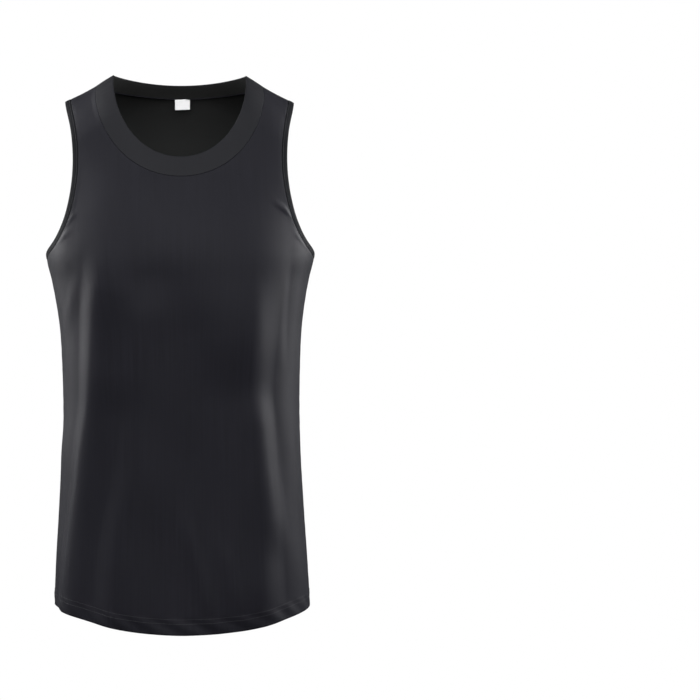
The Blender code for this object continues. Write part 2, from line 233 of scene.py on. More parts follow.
def neckEdge(side, count):
    # half a neckline, from its centre to the high shoulder point: a superellipse in front, a cosine behind
    angle = np.linspace(0.0, quarterTurn, 401)
    if side == "front":
        power = 2 / form["neckPower"]
        x = form["neckHalfWidth"] * np.sin(angle) ** power
        z = -form["neckDrop"][side] * np.cos(angle) ** power
    else:
        x = form["neckHalfWidth"] * np.sin(angle)
        z = -form["neckDrop"][side] * np.cos(angle) ** 2
    girth = girthAt(x / smoothLookup(form["sections"], 1, z))
    return spaced(side, (girth, fallAt(girth, z)), np.linspace(0, 1, count + 1))


def armholeEdge(side, count):
    # half an armhole, from the armpit up to the shoulder tip
    climb = (1 - np.cos(np.linspace(0.0, math.pi, 401))) / 2
    z = form["armpitZ"] + (shoulderZ(form["shoulderTipX"]) - form["armpitZ"]) * climb
    x = smoothLookup(form["armhole"], 1, z)
    girth = girthAt(np.minimum(x / smoothLookup(form["sections"], 1, z), 1.0))
    return spaced(side, (girth, fallAt(girth, z)), np.linspace(0, 1, count + 1))


def neckLines(side, distances, count=96):
    # the neckline moved outwards to each distance; every line ends on the shoulder line
    lines = offsetLines(side, neckEdge(side, count), distances)
    outwards = np.asarray(distances) / math.hypot(1.0, form["shoulderSlope"])
    lines[:, 0, 0] = 0.0
    lines[:, 0, -1] = girthAt((form["neckHalfWidth"] + outwards) / form["sections"][0, 1])
    lines[:, 1, -1] = 0.0
    return lines


def armholeLines(side, distances, count=120):
    # the armhole's edge moved inwards to each distance, from the side seam to the shoulder line
    lines = offsetLines(side, armholeEdge(side, count), -np.asarray(distances))
    reach = form["shoulderTipX"] - form["neckHalfWidth"]
    tipSlope = form["shoulderSlope"] - 2 * form["shoulderEasing"] * reach
    inwards = np.asarray(distances) / math.hypot(1.0, tipSlope)
    lines[:, 0, 0] = quarterTurn
    lines[:, 1, 0] = fallAt(quarterTurn, form["armpitZ"] - np.asarray(distances))
    lines[:, 0, -1] = girthAt((form["shoulderTipX"] - inwards) / form["sections"][0, 1])
    lines[:, 1, -1] = 0.0
    return lines


def hemZ(side, girth):
    # height of the hem: a cubed cosine lowers its middle, and a squared sine lowers its sides
    middle = form["hemDrop"][side] * np.cos(girth) ** 3
    return form["hemLevel"] - middle - form["hemSides"] * np.sin(girth) ** 2


def hemShift(girth, fall):
    # the cloth falls less far at the wearer's right: how much less, growing from the waist to the hem
    share = smoothStep((form["riseFrom"] - heightAt(girth, fall)) / form["riseSpan"])
    sideways = np.sin(np.maximum(-girth, 0.0)) ** form["risePower"]
    return form["hemRise"] * sideways * share / form["shoulderRadius"]


def gridFaces(rows, columns, closedRows=False, closedColumns=False):
    # corner numbers of the quads of a grid; a closed way has its last line beside its first
    row, column = np.meshgrid(np.arange(rows - (not closedRows)), np.arange(columns - (not closedColumns)),
                              indexing="ij")
    nextRow = (row + 1) % rows
    nextColumn = (column + 1) % columns
    corners = [row * columns + column, row * columns + nextColumn, nextRow * columns + nextColumn,
               nextRow * columns + column]
    return np.stack(corners, axis=-1).reshape(-1, 4)


def addObject(name, data):
    thing = bpy.data.objects.new(name, data)
    bpy.context.scene.collection.objects.link(thing)
    return thing


def makeMesh(name, points, faces, clothMap=None):
    # the cloth map gives each point its place on the cloth laid flat, in metres
    mesh = bpy.data.meshes.new(name)
    mesh.from_pydata(points.reshape(-1, 3).tolist(), [], list(faces))
    if clothMap is not None:
        corners = np.zeros(len(mesh.loops), dtype=np.int32)
        mesh.loops.foreach_get("vertex_index", corners)
        layer = mesh.uv_layers.new(name="clothMap")
        layer.data.foreach_set("uv", clothMap.reshape(-1, 2)[corners].ravel())
    mesh.shade_smooth()
    return addObject(name, mesh)


def finishPiece(thing, slot, materials, *nodes):
    # the piece's materials, its body, and the nodes of the frame that it stands for; slot is not used
    for material in materials:
        thing.data.materials.append(material)
    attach(thing, "root")
    if nodes:
        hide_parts(*nodes)
    return thing


def thicken(thing, thickness):
    # gives a sheet its thickness, on its inner side, where it has its second material if there is one
    solidify = thing.modifiers.new("ply", "SOLIDIFY")
    solidify.thickness = thickness
    solidify.offset = -1.0
    solidify.material_offset = 1
    return thing


def addNode(tree, kind, inputs, **settings):
    # a node of the given kind; each of its inputs gets a value, or the socket that it is linked to
    node = tree.nodes.new("ShaderNode" + kind)
    for name, value in settings.items():
        setattr(node, name, value)
    for name, value in inputs.items():
        if isinstance(value, bpy.types.NodeSocket):
            tree.links.new(value, node.inputs[name])
        else:
            node.inputs[name].default_value = value
    return node


def mathNode(tree, operation, *values):
    return addNode(tree, "Math", dict(enumerate(values)), operation=operation).outputs[0]


def newMaterial(name, inputs):
    # a material with one surface node, which has the given inputs
    material = bpy.data.materials.new(name)
    material.use_nodes = True
    tree = material.node_tree
    tree.nodes.clear()
    surface = addNode(tree, "BsdfPrincipled", inputs)
    output = addNode(tree, "OutputMaterial", {"Surface": surface.outputs[0]})
    return material, tree, surface, output


def clothPlace(tree):
    # the place on the cloth laid flat, whole and in its two parts
    place = addNode(tree, "UVMap", {}, uv_map="clothMap").outputs[0]
    parts = addNode(tree, "SeparateXYZ", {0: place})
    return place, parts.outputs[0], parts.outputs[1]


def bumpFrom(tree, surface, height, strength, depth):
    # lets the surface's normals follow a height
    bump = addNode(tree, "Bump", {"Strength": strength, "Distance": depth, "Height": height})
    tree.links.new(bump.outputs[0], surface.inputs["Normal"])


knitLook = {
    "slant": 0.8,  # of the chevrons, in courses
    "loopShare": 0.45,  # of the relief, and the rest is the roundness of the wales
    "bump": 0.35,
    "bumpDepth": 0.00008,
    "shade": (0.35, 0.80),  # how much tone the loops add, and the tone between them
    "tint": (0.955, 0.952, 1.0, 1.0),
    "blotchScale": 9.0,
    "blotchShare": 0.10,
    "streakWidth": 0.0019,
    "streakLength": 0.11,
    "streakGloss": 0.08,  # how much smoother the light streaks are
}


def knitHeight(tree, walePitch, coursePitch):
    # height of a plain knit face: rounded wales, each a column of chevrons
    place, over, up = clothPlace(tree)
    wale = mathNode(tree, "FRACT", mathNode(tree, "DIVIDE", over, walePitch))
    fromMiddle = mathNode(tree, "ABSOLUTE", mathNode(tree, "MULTIPLY_ADD", wale, 2.0, -1.0))
    course = mathNode(tree, "DIVIDE", up, coursePitch)
    slanted = mathNode(tree, "MULTIPLY_ADD", fromMiddle, -knitLook["slant"], course)
    loop = mathNode(tree, "SINE", mathNode(tree, "MULTIPLY", mathNode(tree, "FRACT", slanted), math.pi))
    roundWale = mathNode(tree, "SUBTRACT", 1.0, mathNode(tree, "POWER", fromMiddle, 2.0))
    wales = mathNode(tree, "MULTIPLY", roundWale, 1 - knitLook["loopShare"])
    return mathNode(tree, "MULTIPLY_ADD", loop, knitLook["loopShare"], wales)


def streakNoise(tree):
    # the faint long streaks of a knit face: noise that is narrow across the wales and long along them
    place, over, up = clothPlace(tree)
    scale = (1 / knitLook["streakWidth"], 1 / knitLook["streakLength"], 1.0)
    stretched = addNode(tree, "Mapping", {"Vector": place, "Scale": scale}).outputs[0]
    return addNode(tree, "TexNoise", {"Vector": stretched, "Scale": 1.0, "Detail": 2.0}).outputs["Fac"]


def knitMaterial(name, colour, pitches, roughness, refraction, streaks):
    # pitches are those of the wales and the courses, and streaks says how strong the long streaks are;
    # between the loops the yarn is in shade, and the dye varies a little over the cloth
    look = knitLook
    material, tree, surface, output = newMaterial(name, {"IOR": refraction, "Specular Tint": look["tint"]})
    height = knitHeight(tree, *pitches)
    streak = streakNoise(tree)
    place = addNode(tree, "TexCoord", {}).outputs["Object"]
    blotch = addNode(tree, "TexNoise", {"Vector": place, "Scale": look["blotchScale"], "Detail": 3.0})
    shade = mathNode(tree, "MULTIPLY_ADD", height, *look["shade"])
    share = look["blotchShare"]
    blotched = mathNode(tree, "MULTIPLY_ADD", blotch.outputs["Fac"], share * 2, 1 - share)
    streaked = mathNode(tree, "MULTIPLY_ADD", streak, streaks, 1 - streaks / 2)
    dye = mathNode(tree, "MULTIPLY", blotched, streaked)
    shaded = mathNode(tree, "MULTIPLY", shade, dye)
    tone = addNode(tree, "VectorMath", {0: colour, "Scale": shaded}, operation="SCALE")
    tree.links.new(tone.outputs[0], surface.inputs["Base Color"])
    gloss = look["streakGloss"] * streaks
    rough = mathNode(tree, "MULTIPLY_ADD", streak, -gloss, roughness + gloss / 2)
    tree.links.new(rough, surface.inputs["Roughness"])
    bumpFrom(tree, surface, height, look["bump"], look["bumpDepth"])
    return material


fine, coarse = (0.00075, 0.00060), (0.00080, 0.00065)
bodyKnit = knitMaterial("bodyKnit", (0.0036, 0.0036, 0.0049), fine, 0.56, 1.12, 0.65)
# the inner faces are the same knit made lighter than the outer one: painted light for the inside of the
# garment, more of it on the band's inner face
innerKnitPaintedLight = knitMaterial("innerKnitPaintedLight", (0.0088, 0.0091, 0.0090), coarse, 0.80, 1.06, 0.0)
innerBandKnitPaintedLight = knitMaterial("innerBandKnitPaintedLight", (0.0150, 0.0153, 0.0152), coarse, 0.80, 1.06, 0.0)
bandKnit = knitMaterial("bandKnit", (0.0042, 0.0043, 0.0051), coarse, 0.56, 1.125, 0.3)
bindingKnit = knitMaterial("bindingKnit", (0.0030, 0.0031, 0.0036), coarse, 0.66, 1.07, 0.3)
print("knit materials made")


# Each fold is a soft ridge along a smooth path over a panel: its crest is on the path, and on both sides its
# height goes down to nothing over a width, as a smooth step. turn is the girth in quarter turns, positive on
# the wearer's left.
foldTable = {
    "front": [
        # height, width towards the centre, width towards the side, path of (turn, z); first the long folds
        (0.0060, 0.050, 0.031, [(-.28, -.200), (-.38, -.262), (-.42, -.290), (-.45, -.324), (-.470, -.361),
         (-.490, -.398), (-.53, -.435), (-.565, -.472), (-.585, -.509), (-.62, -.546), (-.65, -.582),
         (-.68, -.640), (-.70, -.720)]),
        (0.0110, 0.090, 0.046, [(.25, -.190), (.31, -.250), (.32, -.300), (.305, -.361), (.305, -.398),
         (.32, -.435), (.335, -.472), (.345, -.509), (.345, -.546), (.35, -.600), (.35, -.740)]),
        (0.0045, 0.034, 0.034, [(.35, -.370), (.385, -.420), (.41, -.460), (.43, -.495), (.46, -.540),
         (.50, -.600)]),
        (0.0018, 0.030, 0.020, [(.44, -.200), (.49, -.250), (.515, -.290), (.55, -.345), (.58, -.380)]),
        (0.0008, 0.020, 0.016, [(-.42, -.222), (-.50, -.246), (-.60, -.272), (-.70, -.300), (-.78, -.335)]),
        (0.0055, 0.060, 0.034, [(-.15, -.240), (-.18, -.330), (-.185, -.398), (-.20, -.472), (-.23, -.509),
         (-.265, -.546), (-.29, -.600), (-.33, -.720)]),
        # broad soft ones over the chest
        (0.0040, 0.060, 0.065, [(-.20, -.100), (-.27, -.200), (-.30, -.260), (-.33, -.340), (-.36, -.420)]),
        (0.0080, 0.080, 0.085, [(.12, -.120), (.17, -.190), (.21, -.250), (.25, -.320), (.28, -.400)]),
        # two slanted ones above the middle of the hem
        (0.0018, 0.016, 0.010, [(.00, -.520), (.07, -.600), (.16, -.700)]),
        (0.0015, 0.016, 0.010, [(.14, -.540), (.21, -.605), (.30, -.700)]),
        # the wearer's right side stands out a little above the hem
        (0.0030, 0.045, 0.022, [(-.88, -.420), (-.90, -.520), (-.90, -.740)]),
        # two small creases beside each armhole, steep on the side of the chest
        (0.0017, 0.0045, 0.0080, [(.40, -.155), (.44, -.158), (.51, -.1665), (.57, -.175), (.62, -.188)]),
        (0.0011, 0.0042, 0.0080, [(.54, -.191), (.58, -.195), (.63, -.202), (.70, -.212), (.76, -.221)]),
        (0.0008, 0.0045, 0.0070, [(-.49, -.164), (-.525, -.172), (-.57, -.180), (-.64, -.192)]),
        (0.0009, 0.0045, 0.0070, [(-.52, -.188), (-.555, -.193), (-.618, -.200), (-.70, -.211)]),
    ],
    "back": [
        (0.0040, 0.060, 0.034, [(.46, -.010), (.30, -.085), (.235, -.135), (.25, -.190), (.30, -.270)]),
        (0.0085, 0.060, 0.022, [(.22, -.160), (.30, -.240), (.33, -.284), (.38, -.321), (.42, -.358),
         (.445, -.395), (.47, -.431), (.48, -.468), (.495, -.505), (.515, -.542), (.53, -.579),
         (.53, -.740)]),
        (0.0040, 0.060, 0.034, [(-.32, -.005), (-.19, -.070), (-.165, -.115), (-.22, -.180), (-.27, -.260)]),
        (0.0130, 0.090, 0.034, [(-.18, -.140), (-.25, -.220), (-.275, -.250), (-.31, -.284), (-.33, -.321),
         (-.345, -.358), (-.37, -.395), (-.395, -.431), (-.42, -.468), (-.415, -.520), (-.41, -.579),
         (-.44, -.640), (-.46, -.740)]),
        (0.0045, 0.020, 0.018, [(-.47, -.200), (-.51, -.284), (-.535, -.321), (-.54, -.358), (-.53, -.395),
         (-.52, -.480)]),
        (0.0028, 0.024, 0.018, [(-.86, -.450), (-.72, -.485), (-.60, -.520), (-.56, -.580), (-.54, -.690)]),
        (0.0028, 0.024, 0.018, [(.64, -.430), (.68, -.540), (.71, -.690)]),
        (0.0050, 0.050, 0.034, [(-.09, -.230), (-.10, -.400), (-.12, -.530), (-.20, -.720)]),
        (0.0040, 0.060, 0.030, [(.24, -.380), (.28, -.540), (.36, -.720)]),
        # small creases beside the armholes
        (0.0014, 0.008, 0.007, [(.62, -.160), (.75, -.188), (.83, -.212)]),
        (0.0014, 0.008, 0.007, [(-.62, -.158), (-.76, -.184), (-.85, -.212)]),
        (0.0010, 0.007, 0.006, [(-.77, -.192), (-.87, -.208), (-.95, -.226)]),
    ],
}
foldLook = {
    "end": 11.0,  # length of a fold's soft end, in heights
    "endLimits": (0.060, 0.45),  # at least this long, at most this share of the path
    "seamCalm": 0.007,  # within this of a seam the cloth lies closer to the form
    "pathPoints": 60,
}


def smoothPath(points, count):
    # a cubic curve through a few points, evenly parted by their order
    points = np.asarray(points, float)
    slopes = np.gradient(points, axis=0)
    at = np.linspace(0, len(points) - 1, count)
    row = np.clip(at.astype(int), 0, len(points) - 2)
    t = (at - row)[:, None]
    return cubic(t, points[row], points[row + 1], slopes[row], slopes[row + 1])


def besidePath(flat, path):
    # for each point of the cloth, laid flat: its signed distance from a path, and how far along it that is
    start = path[:-1]
    step = path[1:] - start
    reach = np.clip(((flat[:, None] - start) * step).sum(-1) / (step ** 2).sum(-1), 0.0, 1.0)
    apart = flat[:, None] - (start + reach[..., None] * step)
    distance = np.linalg.norm(apart, axis=-1)
    nearest = distance.argmin(axis=-1)
    row = np.arange(len(flat))
    apart = apart[row, nearest]
    sign = np.sign(step[nearest, 0] * apart[:, 1] - step[nearest, 1] * apart[:, 0])
    length = lengthsAlong(path)
    along = length[nearest] + reach[row, nearest] * (length[nearest + 1] - length[nearest])
    return sign * distance[row, nearest], along, length[-1]


def foldLift(side, girth, z):
    # the height of all folds at places on a panel
    look = foldLook
    size = np.array([form["quarterGirth"], 1.0])
    flat = np.stack([girth / quarterTurn * form["quarterGirth"], z], axis=-1)
    lift = np.zeros(len(girth))
    for height, inner, outer, points in foldTable[side]:
        path = smoothPath(points, look["pathPoints"]) * size
        low = path.min(axis=0) - max(inner, outer)
        high = path.max(axis=0) + max(inner, outer)
        near = ((flat > low) & (flat < high)).all(axis=1)
        distance, along, total = besidePath(flat[near], path)
        outwards = distance * np.sign(path[:, 0].mean() * (path[0, 1] - path[-1, 1]))
        width = np.where(outwards > 0, outer, inner)
        end = min(max(look["end"] * height, look["endLimits"][0]), look["endLimits"][1] * total)
        share = smoothStep(np.minimum(along, total - along) / end)
        lift[near] += height * (1 - smoothStep(np.abs(distance) / width)) * share
    return lift


# Front and back panels. Each half panel is a lattice of four blocks that share their edges: strap, centre,
# chest and body. The neckline and the armhole are notches in it. Round it runs a narrow rim that rolls into
# the seams.
panelLook = {
    "ply": 0.0006,
    "neckSeam": 0.0250 + 0.00025,  # from the neckline: the band's width and its roll
    "armSeam": 0.0080 + 0.00025,  # from the armhole's edge, in the same way
    "gap": 0.00001,  # from a panel's edge to the middle of its seam
    "inset": 0.0030,  # width of the rim
    "rimShares": (0.34, 0.60, 0.80, 0.93, 1.0),  # places of the rim's lines across its width
    "roll": 0.00025,  # radius of the roll into a seam
    "flange": 0.0025,  # how deep the seam allowance stands
    "neckCorner": {"front": 0.28, "back": 0.36},  # share of the neck seam up to the lattice's corner
    "armCorner": 0.32,
    "columns": (15, 38, 42),  # of the lattice: centre, strap, side
    "strapRows": {"front": 60, "back": 40},
    "chestRows": {"front": 30, "back": 55},
    "bodyRows": 158,
    "hemRows": 12,
    "hemBlock": 0.024,  # height of the hem's own rows
    "shoulderBend": 0.050,  # radius of the form's bend at the shoulder line
    "cornerGirths": (0.34, 0.94),  # girths where the lattice's corner columns reach the hem
    "hemHeight": 0.020,
    "foldRadius": 0.0007,
    "foldSteps": 6,
    "turnedRows": 8,
}


def cutLine(line, lowestFall, widestGirth):
    # a line cut off where it comes closer than that to the shoulder line or the side seam
    girth, fall = line
    first, last = np.flatnonzero((fall > lowestFall) & (girth < widestGirth))[[0, -1]]
    girths, falls = girth[first:last + 1], fall[first:last + 1]
    if first > 0:
        share = (widestGirth - girth[first - 1]) / (girth[first] - girth[first - 1])
        falls = np.concatenate([[fall[first - 1] + share * (fall[first] - fall[first - 1])], falls])
        girths = np.concatenate([[widestGirth], girths])
    if last < len(girth) - 1:
        share = (lowestFall - fall[last]) / (fall[last + 1] - fall[last])
        girths = np.concatenate([girths, [girth[last] + share * (girth[last + 1] - girth[last])]])
        falls = np.concatenate([falls, [lowestFall]])
    return np.stack([girths, falls])


def straight(start, end, count):
    # evenly parted places from one place to another
    start, end = np.asarray(start), np.asarray(end)
    return start + np.linspace(0, 1, count + 1)[:, None] * (end - start)


def evenSteps(stops, counts):
    # numbers from the first stop to the last one, evenly parted from each stop to the next
    parts = [np.linspace(low, high, count + 1)[1:] for low, high, count in zip(stops, stops[1:], counts)]
    return np.concatenate([stops[:1], *parts])


def blockGrid(top, bottom, left, right):
    # a grid between four edges: the two ruled grids together, less the one through the corners
    s = np.linspace(0, 1, len(top))[None, :, None]
    t = np.linspace(0, 1, len(left))[:, None, None]
    down = (1 - t) * top[None] + t * bottom[None]
    over = (1 - s) * left[:, None] + s * right[:, None]
    corners = (1 - s) * ((1 - t) * top[0] + t * bottom[0]) + s * ((1 - t) * top[-1] + t * bottom[-1])
    return down + over - corners


def panelEdges(side, inset):
    # the seams round half a panel, moved in by the inset, with the lattice's points on them; the side seam
    # and the shoulder seam move in by an angle
    look = panelLook
    centre, strap, outer = look["columns"]
    strapRows, chestRows = look["strapRows"][side], look["chestRows"][side]
    widest = quarterTurn - inset / form["sideRadius"]
    lowest = inset / look["shoulderBend"]
    neck = cutLine(neckLines(side, np.linspace(0, look["neckSeam"] + inset, 9)[1:])[-1], lowest, math.inf)
    arm = cutLine(armholeLines(side, np.linspace(0, look["armSeam"] + inset, 5)[1:])[-1], lowest, widest)
    neck = spaced(side, neck, evenSteps((0, look["neckCorner"][side], 1), (centre, strapRows))).T
    arm = spaced(side, arm, evenSteps((0, look["armCorner"], 1), (outer, strapRows + chestRows))).T
    return neck, arm, straight(neck[-1], arm[-1], strap), widest


def hemPlaces(side, girth, rise):
    # places at a height above the hem
    return np.stack([girth, fallAt(girth, hemZ(side, girth) + rise)], axis=-1)


def panelLattice(side):
    # places of half a panel: rows by columns, without a number where the neckline and armhole are cut out
    look = panelLook
    neck, arm, shoulder, widest = panelEdges(side, look["inset"])
    centre, strap, outer = look["columns"]
    strapRows, chestRows, bodyRows = look["strapRows"][side], look["chestRows"][side], look["bodyRows"]
    neckCorner, armCorner = neck[centre], arm[outer]
    armBeside = arm[outer + chestRows]
    inner, wide = look["cornerGirths"]
    chestGirths = evenSteps((0, inner, armCorner[0]), (centre, strap))
    chestLine = np.stack([chestGirths, fallAt(chestGirths, heightAt(*armCorner))], axis=-1)
    chestLine[-1] = armCorner
    hemGirths = evenSteps((0, inner, wide, widest), look["columns"])

    strapLine = straight(neckCorner, armBeside, strap)
    cornerColumn = straight(neckCorner, chestLine[centre], chestRows)
    strapBlock = blockGrid(shoulder, strapLine, neck[:centre - 1:-1], arm[:outer + chestRows - 1:-1])
    centreBlock = blockGrid(neck[:centre + 1], chestLine[:centre + 1],
                            straight(neck[0], chestLine[0], chestRows), cornerColumn)
    chestBlock = blockGrid(strapLine, chestLine[centre:], cornerColumn,
                           arm[outer:outer + chestRows + 1][::-1])
    bodyTop = np.concatenate([chestLine, arm[:outer][::-1]])
    hemTop = hemPlaces(side, hemGirths, look["hemBlock"])
    hemLine = hemPlaces(side, hemGirths, look["foldRadius"])
    bodyBlock = blockGrid(bodyTop, hemTop, straight(bodyTop[0], hemTop[0], bodyRows),
                          straight(bodyTop[-1], hemTop[-1], bodyRows))
    hemBlock = blockGrid(hemTop, hemLine, straight(hemTop[0], hemLine[0], look["hemRows"]),
                         straight(hemTop[-1], hemLine[-1], look["hemRows"]))

    bodyRow = strapRows + chestRows
    lattice = np.full((bodyRow + bodyRows + look["hemRows"] + 1, centre + strap + outer + 1, 2), np.nan)
    lattice[bodyRow + bodyRows:] = hemBlock
    lattice[bodyRow:bodyRow + bodyRows + 1] = bodyBlock
    lattice[strapRows:bodyRow + 1, :centre + 1] = centreBlock
    lattice[strapRows:bodyRow + 1, centre:centre + strap + 1] = chestBlock
    lattice[:strapRows + 1, centre:centre + strap + 1] = strapBlock
    return lattice


def turnedHem(side, girths):
    # places and depths of the hem's fold, half a turn round its radius, and of the cloth turned up inside
    look = panelLook
    angle = np.linspace(0, math.pi, look["foldSteps"] + 1)[1:]
    up = np.linspace(0, look["hemHeight"], look["turnedRows"] + 1)[1:]
    rises = np.concatenate([look["foldRadius"] * (1 - np.sin(angle)), look["foldRadius"] + up])
    depths = np.concatenate([look["foldRadius"] * (1 - np.cos(angle)),
                             np.full(len(up), 2 * look["foldRadius"])])
    places = hemPlaces(side, np.broadcast_to(girths, (len(rises), len(girths))), rises[:, None])
    return places, np.broadcast_to(depths[:, None], places.shape[:2])


def rimPath(side, rows):
    # rows and columns of the lattice's points in order round the left half, from the hem to the centre
    centre, strap, outer = panelLook["columns"]
    strapRows = panelLook["strapRows"][side]
    bodyRow = strapRows + panelLook["chestRows"][side]
    tip, last = centre + strap, centre + strap + outer
    stretches = [
        (np.arange(rows - 1, bodyRow, -1), last),
        (bodyRow, np.arange(last, tip, -1)),
        (np.arange(bodyRow, 0, -1), tip),
        (0, np.arange(tip, centre, -1)),
        (np.arange(0, strapRows), centre),
        (strapRows, np.arange(centre, -1, -1)),
    ]
    return tuple(np.concatenate([part.ravel() for part in parts])
                 for parts in zip(*(np.broadcast_arrays(row, column) for row, column in stretches)))


def rimTargets(side, sideFalls):
    # the places on the seams that the rim's points go out to, in the same order
    neck, arm, shoulder, widest = panelEdges(side, panelLook["gap"])
    sideLine = np.stack([np.full(len(sideFalls), widest), sideFalls], axis=-1)
    return np.concatenate([sideLine, arm, shoulder[1:-1][::-1], neck[::-1]])


def mirrored(half, turns=True):
    # both halves of an array of columns from the left one, whose first column is the centre line
    other = half[:, :0:-1].copy()
    if turns:
        other[..., 0] *= -1
    return np.concatenate([other, half], axis=1)


def seamPoints(side):
    # points on the seams round a panel's left half, a few millimetres apart
    neck, arm, shoulder, widest = panelEdges(side, panelLook["gap"])
    sideZ = np.arange(form["hemLevel"], form["armpitZ"], 0.004)
    sideGirth = np.full(len(sideZ), quarterTurn)
    sideLine = np.stack([sideGirth, fallAt(sideGirth, sideZ)], axis=-1)
    places = np.concatenate([sideLine, arm[::2], shoulder[::-2], neck[::-2]])
    return onForm(side, places[:, 0], places[:, 1])


seams = {side: seamPoints(side) for side in ("front", "back")}


def seamDistance(side, girth, fall):
    # how far each place is from the nearest seam, and how far along the seams that is
    points = onForm(side, np.abs(girth), fall)
    nearest = np.full(len(points), math.inf)
    where = np.zeros(len(points))
    for seam, along in zip(seams[side], lengthsAlong(seams[side])):
        distance = np.linalg.norm(points - seam, axis=-1)
        closer = distance < nearest
        nearest[closer] = distance[closer]
        where[closer] = along
    return nearest, where


puckers = {"height": 0.00022, "lengths": (0.0085, 0.0137), "reach": 0.008, "otherSide": 0.31}
# two slow waves cross; each is the sine of its two numbers times the girth and the height
waves = {"height": 0.0006, "first": (10.85 / quarterTurn, 17.0), "second": (1.3, 23.0)}
hemShape = {"height": 0.022, "curl": 0.0006, "twist": 0.0011, "length": 0.033, "slant": 0.9, "uneven": 0.3,
            "unevenTurns": 19.0}


def hemLift(side, girth, z):
    # the double hem curls in a little towards its edge, and it twists in soft slanted waves, some stronger
    look = hemShape
    rise = z - hemZ(side, girth)
    low = 1 - np.clip(rise / look["height"], 0.0, 1.0)
    run = girth / quarterTurn * form["quarterGirth"] + look["slant"] * rise
    swell = 1 - look["uneven"] + look["uneven"] * np.sin(look["unevenTurns"] * run + 1.0)
    twist = np.sin(2 * math.pi * run / look["length"]) * swell
    return look["twist"] * twist * np.sin(math.pi * low) - look["curl"] * low ** 2


def clothLift(side, girth, fall):
    # how far the cloth stands out from the form: folds, small puckers at the seams and slow waves
    z = heightAt(girth, fall)
    distance, along = seamDistance(side, girth, fall)
    turns = 2 * math.pi * (along + puckers["otherSide"] * (girth > 0))
    ripple = np.sin(turns / puckers["lengths"][0]) * np.sin(turns / puckers["lengths"][1])
    pucker = puckers["height"] * ripple * np.exp(-distance / puckers["reach"])
    crossing = [np.sin(byGirth * girth + byZ * z) for byGirth, byZ in (waves["first"], waves["second"])]
    wave = waves["height"] * crossing[0] * crossing[1]
    calm = smoothStep(distance / foldLook["seamCalm"])
    return (foldLift(side, girth, z) + hemLift(side, girth, z) + pucker + wave) * calm


def clothPoints(side, girth, fall, height=0.0):
    # places on the cloth itself, at a height over it
    out = clothLift(side, girth, fall) + height
    placed = fall - hemShift(girth, fall)
    return onForm(side, girth, placed) + formNormals(side, girth, placed) * out[:, None]


def makePanel(side):
    # the mirrored lattice with its turned-up hem, and round it the rim and the seam allowance, as one sheet
    look = panelLook
    half = panelLattice(side)
    hem, depth = turnedHem(side, half[-1, :, 0])
    depths = mirrored(np.concatenate([np.zeros(half.shape[:2]), depth]), turns=False)
    half = np.concatenate([half, hem])
    rows, halfColumns = half.shape[:2]
    row, column = rimPath(side, rows)
    bodyRow = look["strapRows"][side] + look["chestRows"][side]
    targets = rimTargets(side, half[row[:rows - 1 - bodyRow], -1, 1])

    lattice = mirrored(half)
    there = ~np.isnan(lattice[..., 0])
    number = np.cumsum(there.ravel()).reshape(there.shape) - 1
    quads = gridFaces(*there.shape)
    faces = number.ravel()[quads[there.ravel()[quads].all(axis=1)]]

    # the rim goes up the left side, round the left half, and back down the right one
    middle = halfColumns - 1
    rimRows = np.concatenate([row, row[-2::-1]])
    rimColumns = np.concatenate([middle + column, middle - column[-2::-1]])
    outward = np.concatenate([targets, targets[-2::-1] * np.array([-1.0, 1.0])])
    base = lattice[rimRows, rimColumns]
    share = np.array(look["rimShares"])[:, None, None]
    rim = base + share * (outward - base)
    inward = np.maximum(look["roll"] - (1 - share[..., 0]) * look["inset"], 0.0)
    sink = look["roll"] - np.sqrt(look["roll"] ** 2 - inward ** 2)
    rimDepth = depths[rimRows, rimColumns] + sink
    rim = np.concatenate([rim, rim[-1:]])
    rimDepth = np.concatenate([rimDepth, rimDepth[-1:] + look["flange"]])

    places = np.concatenate([lattice[there], rim.reshape(-1, 2)])
    depth = np.concatenate([depths[there], rimDepth.ravel()])
    count = there.sum()
    rings = np.concatenate([number[rimRows, rimColumns][None],
                            count + np.arange(rimDepth.size).reshape(rimDepth.shape)])
    strip = np.stack([rings[:-1, :-1], rings[:-1, 1:], rings[1:, 1:], rings[1:, :-1]], axis=-1).reshape(-1, 4)
    faces = np.concatenate([faces, strip])
    if side == "front":
        faces = faces[:, ::-1]

    girth, fall = places.T
    points = clothPoints(side, girth, fall, -depth)
    clothMap = np.stack([girth / quarterTurn * form["quarterGirth"], -fall * form["shoulderRadius"]], axis=-1)
    thing = makeMesh(side + "Panel", points, faces, clothMap)
    return thicken(thing, look["ply"])


# Neckband and armhole bindings: strips whose section is carried round the neckline and the armholes.
bandLook = {
    "neck": {"lines": neckLines, "width": 0.0250, "thick": 0.0014, "dome": 0.0004},
    "arm": {"lines": armholeLines, "width": 0.0080, "thick": 0.0020, "dome": 0.0003},
    "seamRoll": 0.00025,
    "foot": 0.8,  # where the seam end begins, in thicknesses below the outer face
    "lineCount": 12,
    "ripple": 0.00012,
    "rippleLengths": (0.0113, 0.0171),
    # places across the outer face, closer together at the seam
    "faceShares": 1 - np.array([0.0, 0.008, 0.025, 0.06, 0.12, 0.22, 0.34, 0.46, 0.58, 0.70, 0.82, 0.92]),
    "innerRows": 13,  # rows of faces on the strip's inner side
}


def seamSink(away):
    # how far a strip's outer face has rolled down at a distance from its seam
    radius = bandLook["seamRoll"]
    inward = np.clip(radius - away, 0.0, radius)
    return np.sqrt(radius ** 2 - inward ** 2) - radius


